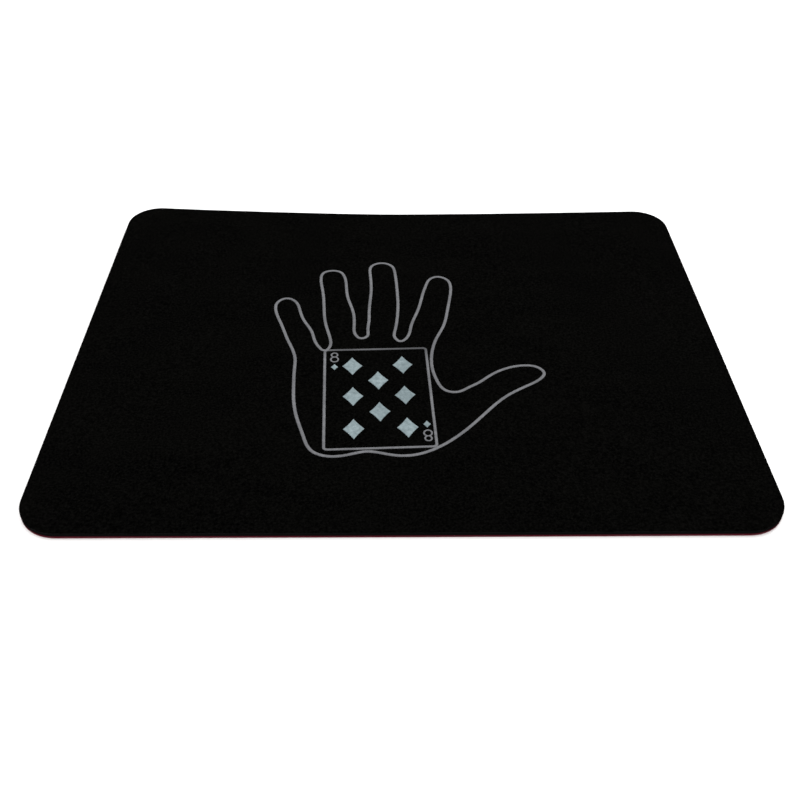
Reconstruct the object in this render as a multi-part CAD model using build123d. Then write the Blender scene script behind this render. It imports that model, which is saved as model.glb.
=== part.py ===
from build123d import *
import os

# Close-up mat for card and coin magic: rubber base, foam core and napped cloth, glued into one flat
# pad, with a drawing printed on the cloth. Millimetres. X runs along the long side, Y away from the
# performer, +Z up. The origin is the centre of the underside, where the mat rests on a table.

# Driving dimensions of the pad
MAT_WIDTH = 420.0
MAT_DEPTH = 335.0
CORNER_RADIUS = 24.0

# Layers, from the table up
BASE_THICKNESS = 1.4
BOND_THICKNESS = 0.1
FOAM_THICKNESS = 2.2
CLOTH_THICKNESS = 0.7
BASE_EDGE_RADIUS = 0.4
CLOTH_EDGE_RADIUS = 0.5

# Printed drawing
INK_THICKNESS = 0.15
LINE_WIDTH = 2.0
OUTLINE_ARCS = 200

# Printed playing card, slightly larger than life, turned a little in the palm
CARD_CENTRE = (-14.8, -56.3)
CARD_TURN = 2.4
CARD_WIDTH = 66.4
CARD_HEIGHT = 93.9
CARD_CORNER_RADIUS = 2.0
CARD_LINE_WIDTH = 1.7
PIP_WIDTH = 13.0
PIP_HEIGHT = 18.0
PIP_HOLLOW = 0.35
PIP_SHIFT = 0.8
PIP_COLUMN = 16.2
PIP_ROW = 29.9
INDEX_WIDTH = 5.8
INDEX_HEIGHT = 10.2
INDEX_STROKE = 1.0
UPPER_RING_WIDTH = 0.86
UPPER_RING_HEIGHT = 0.46
INDEX_OFFSET = (27.8, 38.3)
INDEX_SHIFT = (0.9, 0.9)
INDEX_PIP_WIDTH = 4.8
INDEX_PIP_HEIGHT = 6.2
INDEX_PIP_DROP = 9.9

# Centre line of the hand outline, counter-clockwise seen from above, from the root of the little
# finger and back to it
HEEL_OF_HAND = [(-74.0, -3.0), (-71.0, -11.0), (-69.0, -19.0), (-68.5, -31.0), (-68.0, -43.0),
                (-67.0, -58.0), (-64.5, -73.5), (-58.5, -93.5), (-52.5, -106.0), (-43.5, -110.0),
                (-32.5, -109.0), (-20.5, -106.0), (-8.0, -108.5), (3.0, -109.5), (13.0, -107.0),
                (23.5, -101.0)]
THUMB = [(39.0, -87.0), (52.5, -71.0), (65.0, -57.5), (79.0, -47.5), (88.5, -40.5), (91.5, -35.0),
         (88.0, -29.0), (80.0, -27.0), (67.5, -30.0), (55.5, -38.0), (49.0, -44.0), (42.5, -48.5)]
THUMB_WEB = [(34.5, -53.0), (28.0, -51.5), (23.0, -43.0), (20.0, -28.5), (20.5, -12.5), (24.0, 2.5)]
FOREFINGER = [(29.0, 15.5), (32.5, 32.0), (35.0, 48.0), (36.5, 63.0), (34.0, 73.0), (27.5, 76.5),
              (22.5, 74.0), (19.0, 66.0), (17.0, 58.0), (12.5, 35.5), (7.0, 15.0), (4.5, 4.0)]
MIDDLE_FINGER = [(0.0, -0.5), (-4.0, 4.0), (-4.0, 9.5), (-3.0, 16.5), (-2.0, 27.0), (-1.5, 38.0),
                 (-2.0, 60.5), (-3.5, 83.0), (-6.0, 91.5), (-13.0, 95.0), (-20.0, 91.5),
                 (-21.5, 80.5), (-20.5, 58.5), (-21.5, 33.0), (-21.5, 22.0), (-22.0, 11.0)]
RING_FINGER = [(-23.0, 4.0), (-26.5, 2.5), (-29.5, 5.0), (-31.5, 16.0), (-32.5, 32.0), (-37.0, 51.0),
               (-38.5, 66.0), (-40.5, 77.5), (-43.5, 82.5), (-49.0, 84.0), (-55.5, 81.0),
               (-57.0, 74.0), (-55.0, 58.0), (-53.0, 37.5), (-51.0, 19.0), (-47.0, 1.5)]
LITTLE_FINGER = [(-47.0, -7.0), (-49.5, -11.0), (-54.5, -6.5), (-60.0, 10.0), (-66.0, 22.5),
                 (-70.0, 36.0), (-73.5, 44.5), (-79.5, 48.0), (-85.5, 43.5), (-86.5, 36.0),
                 (-81.5, 19.0), (-78.0, 8.5)]
HAND_OUTLINE = HEEL_OF_HAND + THUMB + THUMB_WEB + FOREFINGER + MIDDLE_FINGER + RING_FINGER + LITTLE_FINGER

# Heights of the layers' undersides
BASE_BOND_Z = BASE_THICKNESS
FOAM_Z = BASE_BOND_Z + BOND_THICKNESS
CLOTH_BOND_Z = FOAM_Z + FOAM_THICKNESS
CLOTH_Z = CLOTH_BOND_Z + BOND_THICKNESS
INK_Z = CLOTH_Z + CLOTH_THICKNESS


def layer(bottom, thickness):
    """One full sheet of the pad, with its round corners."""
    outline = RectangleRounded(MAT_WIDTH, MAT_DEPTH, CORNER_RADIUS)
    return Pos(0, 0, bottom) * extrude(outline, thickness)


def base_sheet():
    """Rubber base, with the edge that meets the table slightly rounded."""
    sheet = layer(0, BASE_THICKNESS)
    return fillet(sheet.faces().sort_by(Axis.Z)[0].edges(), BASE_EDGE_RADIUS)


def top_cloth():
    """Napped cloth, with its upper edge rounded over."""
    sheet = layer(CLOTH_Z, CLOTH_THICKNESS)
    return fillet(sheet.faces().sort_by(Axis.Z)[-1].edges(), CLOTH_EDGE_RADIUS)


def ink(sketch):
    """A film of ink on the cloth, from its flat outline."""
    return Pos(0, 0, INK_Z) * extrude(sketch, INK_THICKNESS)


def on_card(sketch, x=0.0, y=0.0, turn=0.0):
    """Places a flat outline on the card, from the card's own centre and axes."""
    return Pos(*CARD_CENTRE) * Rot(0, 0, CARD_TURN) * Pos(x, y) * Rot(0, 0, turn) * sketch


def grown(centre_line, distance):
    """Area inside a counter-clockwise line, grown outwards by a distance, edged with short arcs."""
    points = []
    for step in range(2 * OUTLINE_ARCS):
        share = step / (2 * OUTLINE_ARCS)
        along = centre_line.tangent_at(share)
        points.append(centre_line.position_at(share) + Vector(along.Y, -along.X) * distance)
    points.append(points[0])
    arcs = [ThreePointArc(*points[first:first + 3]) for first in range(0, 2 * OUTLINE_ARCS, 2)]
    return make_face(arcs)


def hand_outline():
    """Ribbon of one line's width round the hand."""
    centre_line = Spline(*HAND_OUTLINE, periodic=True)
    return grown(centre_line, LINE_WIDTH / 2) - grown(centre_line, -LINE_WIDTH / 2)


def card_border():
    """Line round the card, which gives way where the hand's line crosses it."""
    half = CARD_LINE_WIDTH / 2
    outer = RectangleRounded(CARD_WIDTH + 2 * half, CARD_HEIGHT + 2 * half, CARD_CORNER_RADIUS + half)
    inner = RectangleRounded(CARD_WIDTH - 2 * half, CARD_HEIGHT - 2 * half, CARD_CORNER_RADIUS - half)
    return on_card(outer - inner) - hand_outline()


def diamond(width, height, hollow):
    """Diamond with slightly hollow sides, centred on its own origin."""
    corners = [(0, height / 2), (width / 2, 0), (0, -height / 2), (-width / 2, 0)]
    sides = []
    for start, end in zip(corners, corners[1:] + corners[:1]):
        sides.append(SagittaArc(start, end, -hollow))
    return make_face(sides)


def loop(width, height):
    """One ring of a figure eight."""
    ring = Ellipse(width / 2, height / 2)
    return ring - Ellipse(width / 2 - INDEX_STROKE, height / 2 - INDEX_STROKE)


def figure_eight():
    """Outlined figure 8: a smaller ring on a larger one, sharing one stroke at the waist."""
    upper_height = (INDEX_HEIGHT + INDEX_STROKE) * UPPER_RING_HEIGHT
    lower_height = INDEX_HEIGHT + INDEX_STROKE - upper_height
    upper = Pos(0, (INDEX_HEIGHT - upper_height) / 2) * loop(INDEX_WIDTH * UPPER_RING_WIDTH, upper_height)
    lower = Pos(0, -(INDEX_HEIGHT - lower_height) / 2) * loop(INDEX_WIDTH, lower_height)
    return upper + lower


def pip_places():
    """Pip centres of an eight: two columns of three, and two on the middle line."""
    places = [(side * PIP_COLUMN, row * PIP_ROW) for row in (1, 0, -1) for side in (-1, 1)]
    places += [(0, row * PIP_ROW / 2) for row in (1, -1)]
    return [(x + PIP_SHIFT, y) for x, y in places]


def printed_pieces():
    """Every ink film, by node name."""
    pieces = {"hand_outline_print": hand_outline(), "card_border_print": card_border()}
    for number, (x, y) in enumerate(pip_places(), 1):
        pieces[f"card_pip_{number}"] = on_card(diamond(PIP_WIDTH, PIP_HEIGHT, PIP_HOLLOW), x, y)
    for name, side in (("upper", 1), ("lower", -1)):
        turn = 0 if side == 1 else 180
        x = INDEX_SHIFT[0] - side * INDEX_OFFSET[0]
        y = INDEX_SHIFT[1] + side * INDEX_OFFSET[1]
        small = diamond(INDEX_PIP_WIDTH, INDEX_PIP_HEIGHT, PIP_HOLLOW / 2)
        pieces[f"{name}_index_eight"] = on_card(figure_eight(), x, y, turn)
        pieces[f"{name}_index_pip"] = on_card(small, x, y - side * INDEX_PIP_DROP, turn)
    return {node: ink(sketch) for node, sketch in pieces.items()}


def pad_layers():
    """The glued sheets, by node name."""
    return {
        "base_sheet": base_sheet(),
        "base_bond_film": layer(BASE_BOND_Z, BOND_THICKNESS),
        "foam_core": layer(FOAM_Z, FOAM_THICKNESS),
        "cloth_bond_film": layer(CLOTH_BOND_Z, BOND_THICKNESS),
        "top_cloth": top_cloth(),
    }


os.makedirs("parts", exist_ok=True)
for node, shape in (pad_layers() | printed_pieces()).items():
    export_step(shape, f"parts/{node}.step")
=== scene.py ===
import math
from collections import namedtuple

import bpy
import numpy as np
from mathutils import Matrix, Vector
from mathutils.geometry import delaunay_2d_cdt
from mathutils.kdtree import KDTree


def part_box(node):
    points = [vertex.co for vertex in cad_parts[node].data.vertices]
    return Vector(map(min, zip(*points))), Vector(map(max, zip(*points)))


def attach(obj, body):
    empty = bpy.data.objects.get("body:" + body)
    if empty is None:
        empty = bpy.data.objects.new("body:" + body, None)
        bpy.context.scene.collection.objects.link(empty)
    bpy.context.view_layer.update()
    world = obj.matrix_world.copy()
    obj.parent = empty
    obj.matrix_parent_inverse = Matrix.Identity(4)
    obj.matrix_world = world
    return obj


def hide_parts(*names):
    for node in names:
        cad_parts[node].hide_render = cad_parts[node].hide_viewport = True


# Looks of the close-up mat: five glued layers that curl up a little at both ends, and the drawing
# printed on the cloth. Everything is in metres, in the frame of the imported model.
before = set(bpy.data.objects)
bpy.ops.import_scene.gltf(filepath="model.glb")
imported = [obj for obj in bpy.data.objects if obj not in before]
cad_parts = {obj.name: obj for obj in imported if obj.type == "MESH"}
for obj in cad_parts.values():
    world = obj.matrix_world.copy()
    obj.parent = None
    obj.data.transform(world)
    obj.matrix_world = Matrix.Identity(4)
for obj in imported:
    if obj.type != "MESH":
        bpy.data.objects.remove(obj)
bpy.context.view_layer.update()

MM = 0.001
BODY = "root"

# Camera: a little left of the mat's middle, in front of it, looking down
CAMERA_PLACE = Vector((-7.2, -496.4, 382.7)) * MM
CAMERA_HEADING = math.radians(0.813)
CAMERA_TILT = math.radians(40.935)
CAMERA_ROLL = math.radians(0.387)
CAMERA_LENS = 41.98
CAMERA_SENSOR = 36.0

# Room: lamps aim at the middle of the mat
Lamp = namedtuple("Lamp", "place size power")
LAMPS = {
    "back_right": Lamp((1.5, 1.4, 1.1), 0.9, 26),
    "overhead": Lamp((-0.3, -0.2, 2.0), 1.4, 16),
}
FLOOR_SIZE = 12.0
FLOOR_COLOUR = (0.94, 0.94, 0.935, 1)
FLOOR_CLEAR = 30.0 * MM
WORLD_LIGHT = 1.05

# Curl: how far the mat's corners stand off the table, and the power by which that grows from the
# middle to the ends
FRONT_LIFT = 0.4 * MM
LEFT_BACK_LIFT = 6.9 * MM
RIGHT_BACK_LIFT = 3.2 * MM
CURL = 1.5

# Cloth: rounded lip, then a shallow groove where the edge was pressed. The face is one grid, with
# rings round it at these insets, closer together in the groove.
LIP_RADIUS = 0.65 * MM
GROOVE_INSET = 5.0 * MM
GROOVE_WIDTH = 1.6 * MM
GROOVE_DEPTH = 0.14 * MM
FACE_INSET = 13.5 * MM
FACE_RINGS = np.array([11.5, 9.5, 8.0, 6.8, 6.1, 5.6, 5.0, 4.4, 3.9, 3.4, 2.6, 1.6]) * MM
CLOTH_WALL_INSET = 0.03 * MM
CLOTH_FOOT_INSET = 0.1 * MM
CLOTH_BACK_INSET = 4.0 * MM
CLOTH_WAVE = 0.05 * MM
CLOTH_WAVE_LENGTH = 60.0 * MM
CLOTH_RIPPLE = 0.016 * MM
CLOTH_RIPPLE_LENGTH = 9.0 * MM
FRAY = 0.07 * MM
FRAY_LENGTH = 3.1 * MM

# Foam: cells cut open along the wall, in rows that wander by a share of their height. The wall is
# split finer than the sheet's own grid.
CELL_DEPTH = 0.16 * MM
CELL_JITTER = 0.25
FOAM_INSET = 0.10 * MM
GLUE_INSET = 0.06 * MM
WALL_SPLIT = 7
WALL_ROWS = 6

# Rubber: wavy ribs that grip the table
RIB_PITCH = 6.4 * MM
RIB_DEPTH = 0.45 * MM
RIB_BORDER = 5.0 * MM
RIB_SWING = 1.7 * MM
RIB_WAVE = 34.0 * MM
RIB_INSET = 1.0 * MM
RUBBER_EDGE = 0.4 * MM
RUBBER_BEVEL = 0.05 * MM
RUBBER_FACE_INSET = 6.0 * MM

# Ink films: spacing of the points on an outline and inside it, and how far the inner ones keep
# clear, then the outline's bleed and the film's thin edge
INK_STEP = 0.36 * MM
INK_CELL = 0.62 * MM
INK_CLEAR = 0.8 * INK_STEP
LEAST_POINTS = 8
SAME_POINT = 1e-9
INK_BLEED = 0.07 * MM
INK_BLEED_LENGTH = 1.3 * MM
INK_SOAK = 0.06 * MM
INK_EDGE = 0.04 * MM
INK_SHOULDER = 0.35 * MM

# Shared: rings in a rounded edge, plane waves in an uneven surface and how their lengths vary, and
# the distance within which two vertices are one
ROUND_RINGS = 6
WAVE_COUNT = 14
WAVE_SPREAD = (0.7, 1.5)
TOUCH = 1e-6
SEED = 7
PRINT_SEED = SEED + 10
LAID = "_laid"

# Grids: columns, rows between the round corners, and rows across each pair of corners
Cells = namedtuple("Cells", "columns straight_rows arc_rows")
CLOTH_CELLS = Cells(190, 138, 16)
RUBBER_CELLS = Cells(90, 344, 30)
CORE_CELLS = Cells(84, 55, 24)


# ---------------------------------------------------------------- the mat's outline and shape

def corner_radius(node):
    """Radius of a layer's round corners: how far its straight front edge stops short of its side."""
    lowest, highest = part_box(node)
    front = [v.co.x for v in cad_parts[node].data.vertices if v.co.y < lowest.y + TOUCH]
    return highest.x - max(front)


PAD_LOW, PAD_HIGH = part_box("top_cloth")
HALF_WIDTH = (PAD_HIGH.x - PAD_LOW.x) / 2
HALF_DEPTH = (PAD_HIGH.y - PAD_LOW.y) / 2
CORNER_RADIUS = corner_radius("top_cloth")
CLOTH_TOP = PAD_HIGH.z


def waves(x, y, wavelength, seed):
    """Smooth seeded unevenness, mostly between -1 and 1: plane waves that run every way."""
    rng = np.random.default_rng(seed)
    total = np.zeros_like(x)
    for _ in range(WAVE_COUNT):
        heading, phase = rng.uniform(0, math.tau, 2)
        size = wavelength * rng.uniform(*WAVE_SPREAD)
        total += np.sin(math.tau * (x * math.cos(heading) + y * math.sin(heading)) / size + phase)
    return total * math.sqrt(2 / WAVE_COUNT) / 2


def lift(x, y):
    """Height of the curled mat over the table: most at the back corners, and more left than right."""
    back = y / (2 * HALF_DEPTH) + 0.5
    corner = np.where(x < 0, LEFT_BACK_LIFT, RIGHT_BACK_LIFT)
    return (FRONT_LIFT + (corner - FRONT_LIFT) * back) * np.abs(x / HALF_WIDTH) ** CURL


def cloth_relief(x, y):
    """Unevenness of the cloth's face."""
    wave = CLOTH_WAVE * waves(x, y, CLOTH_WAVE_LENGTH, SEED)
    return wave + CLOTH_RIPPLE * waves(x, y, CLOTH_RIPPLE_LENGTH, SEED + 1)


def rows_at(inset, cells):
    """Half width and y of every row of a grid inside the outline moved inwards by the inset."""
    radius = CORNER_RADIUS - inset
    turn = np.linspace(0, math.pi / 2, cells.arc_rows + 1)
    arc_x = HALF_WIDTH - CORNER_RADIUS + radius * np.sin(turn)
    arc_y = HALF_DEPTH - CORNER_RADIUS + radius * np.cos(turn)
    straight_y = np.linspace(-1, 1, cells.straight_rows + 1)[1:-1] * (HALF_DEPTH - CORNER_RADIUS)
    straight_x = np.full_like(straight_y, HALF_WIDTH - inset)
    half_widths = np.concatenate([arc_x, straight_x, arc_x[::-1]])
    return half_widths, np.concatenate([-arc_y, straight_y, arc_y[::-1]])


def grid_at(inset, cells):
    """Points that fill the outline moved inwards, as x and y arrays of rows and columns."""
    half_widths, y = rows_at(inset, cells)
    across = np.linspace(-1, 1, cells.columns + 1)
    return np.outer(half_widths, across), np.repeat(y[:, None], cells.columns + 1, axis=1)


def border(values):
    """The outer values of a grid, counter-clockwise from its front left corner."""
    return np.concatenate([values[0, :-1], values[:-1, -1], values[-1, :0:-1], values[:0:-1, 0]])


def outward(cells):
    """Directions out of the mat, one for each point of its border."""
    outer, inner = grid_at(0, cells), grid_at(MM, cells)
    return [(border(a) - border(b)) / MM for a, b in zip(outer, inner)]


# ---------------------------------------------------------------- meshes

def new_piece(node, vertices, faces, material):
    """Smooth mesh object that stands for a CAD node and rides with it."""
    name = node + LAID
    mesh = bpy.data.meshes.new(name)
    mesh.from_pydata(vertices, [], faces)
    mesh.polygons.foreach_set("use_smooth", [True] * len(mesh.polygons))
    mesh.materials.append(material)
    piece = bpy.data.objects.new(name, mesh)
    bpy.context.scene.collection.objects.link(piece)
    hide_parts(node)
    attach(piece, BODY)
    return piece


class Sheet:
    """Closed sheet: a filled face above and one below, and rings round its rim between them."""

    def __init__(self, cells):
        self.cells = cells
        self.points = []
        self.faces = []
        self.count = 0

    def add(self, x, y, z):
        """Adds points and returns their numbers, in the same arrangement."""
        x, y, z = np.broadcast_arrays(x, y, z)
        self.points.append(np.stack([x.ravel(), y.ravel(), z.ravel()], axis=1))
        numbers = self.count + np.arange(x.size).reshape(x.shape)
        self.count += x.size
        return numbers

    def face_grid(self, inset, height, upwards, bend=None):
        """Adds a filled face and returns its border's numbers. The bend moves its points."""
        x, y = grid_at(inset, self.cells)
        z = np.full_like(x, height)
        if bend:
            x, y, z = bend(x, y, z)
        number = self.add(x, y, z)
        quads = np.stack([number[:-1, :-1], number[:-1, 1:], number[1:, 1:], number[1:, :-1]], axis=-1)
        quads = quads.reshape(-1, 4)
        self.faces += (quads if upwards else quads[:, ::-1]).tolist()
        return border(number)

    def ring(self, inset, height, cells=None):
        """Adds one ring round the sheet. Inset and height may vary from point to point, and other
        cells than the sheet's own make it finer."""
        cells = cells or self.cells
        x, y = (border(values) for values in grid_at(0, cells))
        out_x, out_y = outward(cells)
        return self.add(x - inset * out_x, y - inset * out_y, height)

    def join(self, *rings):
        """Quads from each ring to the next one, on the way from the top face to the underside."""
        for upper, lower in zip(rings, rings[1:]):
            quads = np.stack([upper, lower, np.roll(lower, -1), np.roll(upper, -1)], axis=1)
            self.faces += quads.tolist()

    def finish(self, node, material):
        """Curls the sheet and puts it in place of its CAD node."""
        vertices = np.concatenate(self.points)
        vertices[:, 2] += lift(vertices[:, 0], vertices[:, 1])
        return new_piece(node, vertices.tolist(), self.faces, material)


def glue_film(node, material):
    """Thin layer inside the mat, with square edges."""
    low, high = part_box(node)
    sheet = Sheet(CORE_CELLS)
    top = sheet.face_grid(GLUE_INSET, high.z, True)
    bottom = sheet.face_grid(GLUE_INSET, low.z, False)
    sheet.join(top, bottom)
    return sheet.finish(node, material)


def edge_drop(inset):
    """How far the cloth's face lies under its own level, near the edge: the lip and the groove."""
    lip = LIP_RADIUS - np.sqrt(np.maximum(LIP_RADIUS ** 2 - np.maximum(LIP_RADIUS - inset, 0) ** 2, 0))
    groove = GROOVE_DEPTH * np.exp(-((inset - GROOVE_INSET) / (GROOVE_WIDTH / 2)) ** 2)
    return lip + groove


def uneven(x, y, z):
    """Gives a flat face the cloth's relief."""
    return x, y, z + cloth_relief(x, y)


def top_cloth(material):
    """Napped cloth, with a worn lip and the pressed groove behind it."""
    low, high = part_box("top_cloth")
    sheet = Sheet(CLOTH_CELLS)
    x, y = (border(values) for values in grid_at(0, sheet.cells))
    relief = cloth_relief(x, y)
    fray = FRAY * waves(x, y, FRAY_LENGTH, SEED + 2)
    lip = LIP_RADIUS * (1 - np.cos(np.linspace(math.pi / 2, 0, ROUND_RINGS)))
    rings = [sheet.face_grid(FACE_INSET, high.z, True, uneven)]
    for inset in np.concatenate([FACE_RINGS, lip]):
        near_edge = math.exp(-inset / MM)
        rings.append(sheet.ring(inset - near_edge * fray, high.z - edge_drop(inset) + relief))
    rings.append(sheet.ring(CLOTH_WALL_INSET - fray, (low.z + high.z - LIP_RADIUS) / 2))
    rings.append(sheet.ring(CLOTH_FOOT_INSET, low.z))
    rings.append(sheet.face_grid(CLOTH_BACK_INSET, low.z, False))
    sheet.join(*rings)
    return sheet.finish("top_cloth", material)


def open_cells(sheet, low, high):
    """Adds the foam's wall between two heights, with cells cut open to random depths, and returns
    its highest and lowest ring."""
    fine = Cells(*(count * WALL_SPLIT for count in CORE_CELLS))
    size = len(border(grid_at(0, fine)[0]))
    rng = np.random.default_rng(SEED + 3)
    rings = []
    for row in range(1, WALL_ROWS):
        height = high + (low - high) * row / WALL_ROWS
        pits = CELL_DEPTH * rng.random(size) ** 2
        jitter = (high - low) / WALL_ROWS * rng.uniform(-CELL_JITTER, CELL_JITTER, size)
        rings.append(sheet.ring(FOAM_INSET + pits, height + jitter, fine))
    sheet.join(*rings)
    return rings[0], rings[-1]


def join_finer(sheet, coarse, fine, above):
    """Faces between the border of one of the foam's faces and the finer ring below or above it."""
    for step, (here, there) in enumerate(zip(coarse, np.roll(coarse, -1))):
        run = [fine[(step * WALL_SPLIT + i) % len(fine)] for i in range(WALL_SPLIT + 1)]
        face = [int(number) for number in [there, here] + run]
        sheet.faces.append(face if above else face[::-1])


def foam_core(material):
    """Foam sheet whose cut wall shows its open cells."""
    low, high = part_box("foam_core")
    sheet = Sheet(CORE_CELLS)
    top = sheet.face_grid(FOAM_INSET, high.z, True)
    bottom = sheet.face_grid(FOAM_INSET, low.z, False)
    highest, lowest = open_cells(sheet, low.z, high.z)
    join_finer(sheet, top, highest, True)
    join_finer(sheet, bottom, lowest, False)
    return sheet.finish("foam_core", material)


def from_edge(x, y):
    """How far points inside the mat's outline lie from it."""
    side = np.minimum(HALF_WIDTH - np.abs(x), HALF_DEPTH - np.abs(y))
    corner_x = np.maximum(np.abs(x) - (HALF_WIDTH - CORNER_RADIUS), 0)
    corner_y = np.maximum(np.abs(y) - (HALF_DEPTH - CORNER_RADIUS), 0)
    in_corner = (corner_x > 0) & (corner_y > 0)
    return np.where(in_corner, CORNER_RADIUS - np.hypot(corner_x, corner_y), side)


def ribbed(x, y, z):
    """Presses wavy ribs into a flat underside: rows follow the waves, and the valleys rise. The ribs
    run out before the edge."""
    depth = np.clip((from_edge(x, y) - RIB_INSET) / RIB_BORDER, 0, 1)
    depth = depth * depth * (3 - 2 * depth)
    valley = 0.5 - 0.5 * np.cos(math.tau * y / RIB_PITCH)
    swing = RIB_SWING * np.sin(math.tau * x / RIB_WAVE)
    return x, y + swing * depth, z + RIB_DEPTH * depth * valley


def base_sheet(material):
    """Rubber sheet with a rounded foot and wavy ribs underneath."""
    low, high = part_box("base_sheet")
    sheet = Sheet(RUBBER_CELLS)
    rings = [sheet.face_grid(RUBBER_FACE_INSET, high.z, True)]
    rings.append(sheet.ring(RUBBER_BEVEL, high.z))
    rings.append(sheet.ring(0, high.z - RUBBER_BEVEL))
    for turn in np.linspace(0, math.pi / 2, ROUND_RINGS):
        inset = RUBBER_EDGE * (1 - math.cos(turn))
        rings.append(sheet.ring(inset, low.z + RUBBER_EDGE * (1 - math.sin(turn))))
    rings.append(sheet.face_grid(RIB_INSET, low.z, False, ribbed))
    sheet.join(*rings)
    return sheet.finish("base_sheet", material)


# ---------------------------------------------------------------- printed drawing

def open_edges(faces):
    """Edges that only one face has, each in the direction in which its face goes round."""
    edges = {}
    for face in faces:
        edges.update(dict.fromkeys(zip(face, face[1:] + face[:1])))
    return [(a, b) for a, b in edges if (b, a) not in edges]


def welded(mesh):
    """The places of a mesh's vertices, each once, and the number of each vertex's place."""
    numbers, places, of_vertex = {}, [], []
    for vertex in mesh.vertices:
        key = tuple(round(value / TOUCH) for value in vertex.co)
        if key not in numbers:
            numbers[key] = len(places)
            places.append(vertex.co)
        of_vertex.append(numbers[key])
    return places, of_vertex


def print_outline(node):
    """Closed outlines of a printed patch, as arrays of points, read from the top of its CAD node."""
    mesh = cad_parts[node].data
    low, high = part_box(node)
    middle = (low.z + high.z) / 2
    places, of_vertex = welded(mesh)
    faces = [[of_vertex[vertex] for vertex in face.vertices] for face in mesh.polygons]
    top = [face for face in faces if all(places[corner].z > middle for corner in face)]
    following = dict(open_edges(top))
    loops = []
    while following:
        start, loop = next(iter(following)), []
        while start in following:
            loop.append(places[start].xy)
            start = following.pop(start)
        loops.append(np.array(loop))
    return loops


def respaced(loop, step):
    """The same closed line, with points a step apart."""
    closed = np.vstack([loop, loop[:1]])
    along = np.concatenate([[0], np.cumsum(np.hypot(*np.diff(closed, axis=0).T))])
    places = np.linspace(0, along[-1], max(LEAST_POINTS, round(along[-1] / step)), endpoint=False)
    return np.stack([np.interp(places, along, closed[:, axis]) for axis in (0, 1)], axis=1)


def bled(loop, seed):
    """The line's edge as ink leaves it on a nap: very slightly uneven."""
    shifts = [waves(loop[:, 0], loop[:, 1], INK_BLEED_LENGTH, seed + axis) for axis in (0, 1)]
    return loop + INK_BLEED * np.stack(shifts, axis=1)


def inside(points, loops):
    """Which points lie inside the outlines, by counting the edges to the right of each."""
    crossings = np.zeros(len(points), int)
    for loop in loops:
        for (ax, ay), (bx, by) in zip(loop, np.roll(loop, -1, axis=0)):
            if ay != by:
                between = (points[:, 1] < ay) != (points[:, 1] < by)
                cut = ax + (points[:, 1] - ay) * (bx - ax) / (by - ay)
                crossings += between & (points[:, 0] < cut)
    return crossings % 2 == 1


def filling(loops, nearest):
    """Points spread over the inside of the outlines, in staggered rows, clear of the edge."""
    edge = np.concatenate(loops)
    low, high = edge.min(0), edge.max(0)
    columns = np.arange(low[0], high[0], INK_CELL)
    rows = np.arange(low[1], high[1], INK_CELL * math.sqrt(3) / 2)
    x, y = np.meshgrid(columns, rows)
    x = x + (np.arange(len(rows)) % 2)[:, None] * INK_CELL / 2
    points = np.stack([x.ravel(), y.ravel()], axis=1)
    points = points[np.array([nearest(point) > INK_CLEAR for point in points])]
    return points[inside(points, loops)]


def edge_distance(loops):
    """A function that gives a point's distance from the outlines."""
    edge = np.concatenate(loops)
    tree = KDTree(len(edge))
    for number, (x, y) in enumerate(edge):
        tree.insert((x, y, 0), number)
    tree.balance()
    return lambda point: tree.find((point[0], point[1], 0))[2]


def triangulated(loops, nearest):
    """Flat points and triangles that fill the outlines."""
    points = np.concatenate([*loops, filling(loops, nearest)])
    edges, first = [], 0
    for loop in loops:
        numbers = np.arange(first, first + len(loop))
        edges += np.stack([numbers, np.roll(numbers, -1)], axis=1).tolist()
        first += len(loop)
    result = delaunay_2d_cdt([Vector(point) for point in points], edges, [], 0, SAME_POINT)
    flat = np.array([tuple(point) for point in result[0]])
    triangles = np.array(result[2])
    return flat, triangles[inside(flat[triangles].mean(axis=1), loops)]


def closed_film(flat, triangles, top_height, bottom_height):
    """Vertices and faces of a film between two heights over the triangles."""
    count = len(flat)
    faces = triangles.tolist() + (triangles[:, ::-1] + count).tolist()
    faces += [(b, a, a + count, b + count) for a, b in open_edges(triangles.tolist())]
    used = sorted({vertex for face in faces for vertex in face})
    renumbered = {old: new for new, old in enumerate(used)}
    both = [np.column_stack([flat, height]) for height in (top_height, bottom_height)]
    vertices = np.concatenate(both)[used]
    return vertices.tolist(), [[renumbered[vertex] for vertex in face] for face in faces]


def printed_piece(node, number, material):
    """Film of ink laid over the cloth's face, thin at its edges, in place of its CAD node. Its number
    seeds its outline."""
    low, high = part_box(node)
    loops = [bled(respaced(loop, INK_STEP), PRINT_SEED + number) for loop in print_outline(node)]
    nearest = edge_distance(loops)
    flat, triangles = triangulated(loops, nearest)
    shoulder = np.clip([nearest(point) / INK_SHOULDER for point in flat], 0, 1)
    film = INK_EDGE + (high.z - low.z - INK_EDGE) * np.sqrt(1 - (1 - shoulder) ** 2)
    ground = CLOTH_TOP + cloth_relief(flat[:, 0], flat[:, 1]) + lift(flat[:, 0], flat[:, 1])
    vertices, faces = closed_film(flat, triangles, ground + film, ground - INK_SOAK)
    return new_piece(node, vertices, faces, material)


# ---------------------------------------------------------------- materials

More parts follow.
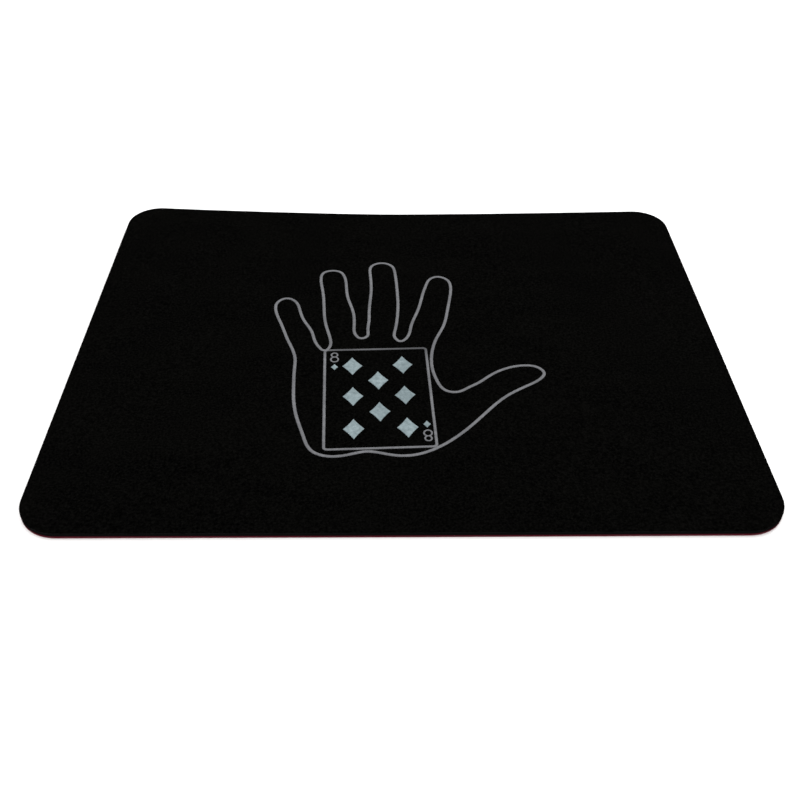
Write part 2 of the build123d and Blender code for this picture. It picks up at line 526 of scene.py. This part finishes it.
CLOTH_DEEP = (0.0001, 0.0001, 0.0001)
CLOTH_BRUSHED = (0.0005, 0.0005, 0.0004)
CLOTH_TIPS = (0.0038, 0.0037, 0.0034)
# Foam: painted shade in the hollows of the cut cells, and the cell walls' own colour
FOAM_PIT_SHADE = (0.0006, 0.0006, 0.0006)
FOAM_WALLS = (0.0034, 0.0033, 0.0033)
RUBBER_DARK = (0.050, 0.0015, 0.006)
RUBBER_PALE = (0.068, 0.003, 0.009)
RUBBER_GRAIN = (0.085, 0.006, 0.014)
# Rib crests: partly rubbed pale, partly painted light that shows the ribs' relief
RUBBER_CRESTS_RUBBED_AND_LIT = (0.135, 0.026, 0.036)
GLUE_DARK = (0.003, 0.003, 0.003)
GLUE_STREAKS = (0.008, 0.0075, 0.007)

# Ink: its colours where thick and thin, and how much of the nap shows through it
Ink = namedtuple("Ink", "thick thin gaps")
LINE_INK = Ink((0.156, 0.158, 0.167), (0.102, 0.104, 0.111), 0.86)
PIP_INK = Ink((0.234, 0.290, 0.305), (0.132, 0.173, 0.184), 0.82)
NAP_IN_INK = (0.035, 0.040, 0.043)
GAP_RANGE = 0.22

# Wear of ink: its colour as a share of thin ink's, how far it goes in soft patches and on the far
# side of the card's border, and over what distance it sets in there
WORN_SHARE = 0.55
PATCH_WEAR = 0.32
BORDER_WEAR = 0.8
WORN_BAND = 12.0 * MM


class Paint:
    """One node material. Its patterns are measured in millimetres on the object."""

    def __init__(self, name, **sockets):
        self.material = bpy.data.materials.new("look_" + name)
        self.material.use_nodes = True
        self.tree = self.material.node_tree
        self.shader = self.tree.nodes["Principled BSDF"]
        self.set(self.shader, {key.replace("_", " "): value for key, value in sockets.items()})
        self.place = self.tree.nodes.new("ShaderNodeTexCoord").outputs["Object"]

    @staticmethod
    def set(node, values):
        """Sets a node's input sockets by name."""
        for socket, value in values.items():
            node.inputs[socket].default_value = value

    def node(self, kind, links=(), values=None, **attributes):
        """Adds a node, sets its attributes and values, and links its inputs."""
        made = self.tree.nodes.new(kind)
        for name, value in attributes.items():
            setattr(made, name, value)
        self.set(made, values or {})
        for socket, source in dict(links).items():
            self.tree.links.new(source, made.inputs[socket])
        return made

    def mapped(self, size, turn=0.0):
        """Coordinates that count in cells of the given size in millimetres, along x, y and z."""
        cells = self.node("ShaderNodeMapping", {"Vector": self.place}, vector_type="POINT")
        self.set(cells, {"Rotation": (0, 0, turn), "Scale": tuple(1 / (s * MM) for s in size)})
        return cells.outputs["Vector"]

    def noise(self, size, detail=3.0, roughness=0.55, distortion=0.0, turn=0.0):
        """Soft random pattern with features of about the given size in millimetres."""
        size = size if isinstance(size, tuple) else (size,) * 3
        values = {"Scale": 1.0, "Detail": detail, "Roughness": roughness, "Distortion": distortion}
        made = self.node("ShaderNodeTexNoise", {"Vector": self.mapped(size, turn)}, values)
        return made.outputs["Fac"]

    def fibres(self):
        """The nap's short fibres, all leaning much the same way."""
        return self.noise((0.22, 0.5, 0.3), detail=5, roughness=0.65, distortion=0.6, turn=0.5)

    def pores(self, size):
        """Distance to the nearest of scattered points: round cells."""
        made = self.node("ShaderNodeTexVoronoi", {"Vector": self.mapped((size,) * 3)}, {"Scale": 1.0})
        return made.outputs["Distance"]

    def levels(self, source, low, high, out_low=0.0, out_high=1.0):
        """Stretches a pattern between two levels to new ones."""
        values = {"From Min": low, "From Max": high, "To Min": out_low, "To Max": out_high}
        return self.node("ShaderNodeMapRange", {"Value": source}, values).outputs["Result"]

    def math(self, operation, a, b):
        """One operation on two inputs, each a pattern or a number."""
        made = self.node("ShaderNodeMath", operation=operation)
        for socket, value in zip(made.inputs, (a, b)):
            if isinstance(value, (int, float)):
                socket.default_value = value
            else:
                self.tree.links.new(value, socket)
        return made.outputs[0]

    def blend(self, share, first, second):
        """Colour between two colours, or colour patterns, by a pattern."""
        made = self.node("ShaderNodeMix", data_type="RGBA")
        self.tree.links.new(share, made.inputs["Factor"])
        for socket, colour in ((made.inputs[6], first), (made.inputs[7], second)):
            if isinstance(colour, tuple):
                socket.default_value = colour + (1,)
            else:
                self.tree.links.new(colour, socket)
        return made.outputs[2]

    def ribs(self):
        """The rubber's wavy ribs, 1 on their crests and 0 in the valleys, on the underside only."""
        x, y, _ = self.node("ShaderNodeSeparateXYZ", {"Vector": self.place}).outputs
        swing = self.math("SINE", self.math("MULTIPLY", x, math.tau / RIB_WAVE), 0)
        row = self.math("SUBTRACT", y, self.math("MULTIPLY", swing, RIB_SWING))
        crest = self.math("COSINE", self.math("MULTIPLY", row, math.tau / RIB_PITCH), 0)
        normal = self.node("ShaderNodeNewGeometry").outputs["Normal"]
        facing = self.node("ShaderNodeSeparateXYZ", {"Vector": normal}).outputs[2]
        return self.math("MULTIPLY", self.levels(crest, -1, 1), self.levels(facing, -0.6, -0.95))

    def colour(self, source):
        """Paints the surface with a colour pattern."""
        self.tree.links.new(source, self.shader.inputs["Base Color"])

    def roughness(self, source):
        """Makes the surface as rough as a pattern says."""
        self.tree.links.new(source, self.shader.inputs["Roughness"])

    def bump(self, height, depth, strength=1.0):
        """Adds surface relief of the given depth in millimetres."""
        values = {"Strength": strength, "Distance": depth * MM}
        made = self.node("ShaderNodeBump", {"Height": height}, values)
        before = self.shader.inputs["Normal"].links
        if before:
            self.tree.links.new(before[0].from_socket, made.inputs["Normal"])
        self.tree.links.new(made.outputs["Normal"], self.shader.inputs["Normal"])


def nap_cloth():
    """Black brushed cloth: short fibres in tufts, with broad brushed streaks and a faint sheen."""
    paint = Paint("nap_cloth", Specular_IOR_Level=0.001, Sheen_Weight=0.002, Sheen_Roughness=0.4,
                  Sheen_Tint=(1.0, 0.95, 0.82, 1))
    fibres = paint.fibres()
    tufts = paint.noise(1.4, detail=4, roughness=0.6)
    streaks = paint.noise((60, 26, 40), roughness=0.5, distortion=0.8, turn=-0.4)
    shade = paint.blend(paint.levels(streaks, 0.36, 0.64), CLOTH_DEEP, CLOTH_BRUSHED)
    tips = paint.levels(paint.math("MULTIPLY", fibres, tufts), 0.18, 0.42)
    paint.colour(paint.blend(tips, shade, CLOTH_TIPS))
    paint.roughness(paint.levels(tufts, 0.3, 0.7, 0.86, 0.98))
    paint.bump(tufts, depth=0.12, strength=0.5)
    paint.bump(fibres, depth=0.16, strength=0.8)
    return paint.material


def core_foam():
    """Black closed-cell foam, with cells cut open, their hollows painted darker as painted shade."""
    paint = Paint("core_foam", Roughness=0.95, Specular_IOR_Level=0.01)
    cells = paint.pores(0.32)
    # Hollows of the cells painted darker than their walls: painted shade
    paint.colour(paint.blend(paint.levels(cells, 0.05, 0.55), FOAM_PIT_SHADE, FOAM_WALLS))
    paint.bump(cells, depth=0.12, strength=0.9)
    return paint.material


def base_rubber():
    """Dark red rubber, matt and cloudy, with a fine pressed grain, and rib crests paler in patches:
    partly rubbed, partly painted light that shows the ribs' relief.
    """
    paint = Paint("base_rubber", Specular_IOR_Level=0.06)
    cloud = paint.levels(paint.noise(24, detail=4, roughness=0.6), 0.35, 0.65)
    grain = paint.noise(0.35, roughness=0.6)
    colour = paint.blend(cloud, RUBBER_DARK, RUBBER_PALE)
    colour = paint.blend(paint.levels(grain, 0.3, 0.75), colour, RUBBER_GRAIN)
    patches = paint.levels(paint.noise(9, detail=4, roughness=0.65), 0.3, 0.62)
    # Crests paler in patches: partly rubbing, partly painted light that shows the ribs' relief
    worn = paint.math("MULTIPLY", paint.ribs(), patches)
    paint.colour(paint.blend(worn, colour, RUBBER_CRESTS_RUBBED_AND_LIT))
    paint.roughness(paint.levels(cloud, 0, 1, 0.70, 0.85))
    paint.bump(grain, depth=0.05, strength=0.6)
    return paint.material


def bond_film():
    """Dry film of dark glue."""
    paint = Paint("bond_film", Specular_IOR_Level=0.1)
    streaks = paint.levels(paint.noise((6, 1.5, 3)), 0.3, 0.7)
    paint.colour(paint.blend(streaks, GLUE_DARK, GLUE_STREAKS))
    paint.roughness(paint.levels(streaks, 0, 1, 0.5, 0.7))
    paint.bump(streaks, depth=0.02, strength=0.5)
    return paint.material


def ink_wear(paint, worn_from):
    """How far ink is rubbed thin: in soft patches, and past worn_from, away from the performer."""
    patches = paint.levels(paint.noise(17, roughness=0.5), 0.38, 0.62, 0, PATCH_WEAR)
    if worn_from is None:
        return patches
    away = paint.node("ShaderNodeSeparateXYZ", {"Vector": paint.place}).outputs[1]
    far_side = paint.levels(away, worn_from, worn_from + WORN_BAND, 0, BORDER_WEAR)
    return paint.math("ADD", patches, far_side)


def printing_ink(name, ink, worn_from=None):
    """Pale ink soaked into the nap, mottled and rubbed, with dark fibres that show through."""
    paint = Paint(name, Specular_IOR_Level=0.2)
    mottle = paint.levels(paint.noise(2.4, detail=4, roughness=0.6, distortion=0.4), 0.3, 0.7)
    fibres = paint.fibres()
    tufts = paint.noise(0.9, detail=4, roughness=0.65)
    body = paint.blend(mottle, ink.thin, ink.thick)
    worn = tuple(WORN_SHARE * value for value in ink.thin)
    body = paint.blend(ink_wear(paint, worn_from), body, worn)
    bare = paint.levels(paint.math("ADD", fibres, tufts), ink.gaps, ink.gaps - GAP_RANGE)
    paint.colour(paint.blend(bare, body, NAP_IN_INK))
    paint.roughness(paint.levels(mottle, 0, 1, 0.8, 0.92))
    paint.bump(tufts, depth=0.10, strength=0.6)
    paint.bump(fibres, depth=0.12, strength=0.8)
    return paint.material


def floor_material():
    """Plain pale floor. It is clear from below, and to rays that have come less than FLOOR_CLEAR, so
    that the mat's underside can be looked at and isn't black."""
    paint = Paint("floor", Base_Color=FLOOR_COLOUR, Roughness=0.9)
    below = paint.node("ShaderNodeNewGeometry").outputs["Backfacing"]
    way = paint.node("ShaderNodeLightPath").outputs["Ray Length"]
    clear = paint.math("MAXIMUM", below, paint.math("LESS_THAN", way, FLOOR_CLEAR))
    mix = paint.node("ShaderNodeMixShader", {"Fac": clear})
    paint.tree.links.new(paint.shader.outputs[0], mix.inputs[1])
    paint.tree.links.new(paint.node("ShaderNodeBsdfTransparent").outputs[0], mix.inputs[2])
    paint.tree.links.new(mix.outputs[0], paint.tree.nodes["Material Output"].inputs["Surface"])
    return paint.material


# ---------------------------------------------------------------- room

def make_camera():
    """Camera in front of the mat that looks down at it."""
    data = bpy.data.cameras.new("camera")
    data.lens, data.sensor_width = CAMERA_LENS, CAMERA_SENSOR
    camera = bpy.data.objects.new("camera", data)
    bpy.context.scene.collection.objects.link(camera)
    heading = Matrix.Rotation(-CAMERA_HEADING, 4, "Z")
    tilt = Matrix.Rotation(math.pi / 2 - CAMERA_TILT, 4, "X")
    roll = Matrix.Rotation(CAMERA_ROLL, 4, "Z")
    camera.matrix_world = Matrix.Translation(CAMERA_PLACE) @ heading @ tilt @ roll
    bpy.context.scene.camera = camera


def make_floor():
    """Flat square under the mat."""
    mesh = bpy.data.meshes.new("floor")
    half = FLOOR_SIZE / 2
    corners = [(-half, -half, 0), (half, -half, 0), (half, half, 0), (-half, half, 0)]
    mesh.from_pydata(corners, [], [(0, 1, 2, 3)])
    mesh.materials.append(floor_material())
    floor = bpy.data.objects.new("floor", mesh)
    bpy.context.scene.collection.objects.link(floor)


def make_lamp(name, lamp):
    """Large soft lamp aimed at the middle of the mat."""
    data = bpy.data.lights.new(name, "AREA")
    data.shape, data.size, data.energy = "DISK", lamp.size, lamp.power
    light = bpy.data.objects.new(name, data)
    light.location = lamp.place
    light.rotation_euler = (-Vector(lamp.place)).to_track_quat("-Z", "Y").to_euler()
    bpy.context.scene.collection.objects.link(light)


def make_room():
    """Even white surroundings, the floor and the lamps."""
    world = bpy.data.worlds.new("studio")
    world.use_nodes = True
    world.node_tree.nodes["Background"].inputs["Color"].default_value = (1, 1, 1, 1)
    world.node_tree.nodes["Background"].inputs["Strength"].default_value = WORLD_LIGHT
    bpy.context.scene.world = world
    bpy.context.scene.view_settings.view_transform = "Standard"
    make_floor()
    for name, lamp in LAMPS.items():
        make_lamp(name, lamp)


# ---------------------------------------------------------------- the whole mat

def make_prints():
    """Every ink film. The card's border has its own ink, rubbed thin along the far side."""
    inks = {
        "line_ink": printing_ink("line_ink", LINE_INK),
        "pip_ink": printing_ink("pip_ink", PIP_INK),
    }
    worn_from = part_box("card_border_print")[1].y - WORN_BAND
    border_ink = printing_ink("border_ink", LINE_INK, worn_from)
    prints = []
    for node, cad in sorted(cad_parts.items()):
        slot = cad.data.materials[0].name
        if slot in inks:
            look = border_ink if node == "card_border_print" else inks[slot]
            prints.append(printed_piece(node, len(prints), look))
    return prints


def make_mat():
    """The mat's layers and prints."""
    cloth = top_cloth(nap_cloth())
    foam = foam_core(core_foam())
    base_sheet(base_rubber())
    glue = bond_film()
    for node in ("base_bond_film", "cloth_bond_film"):
        glue_film(node, glue)
    prints = make_prints()


make_camera()
make_room()
make_mat()
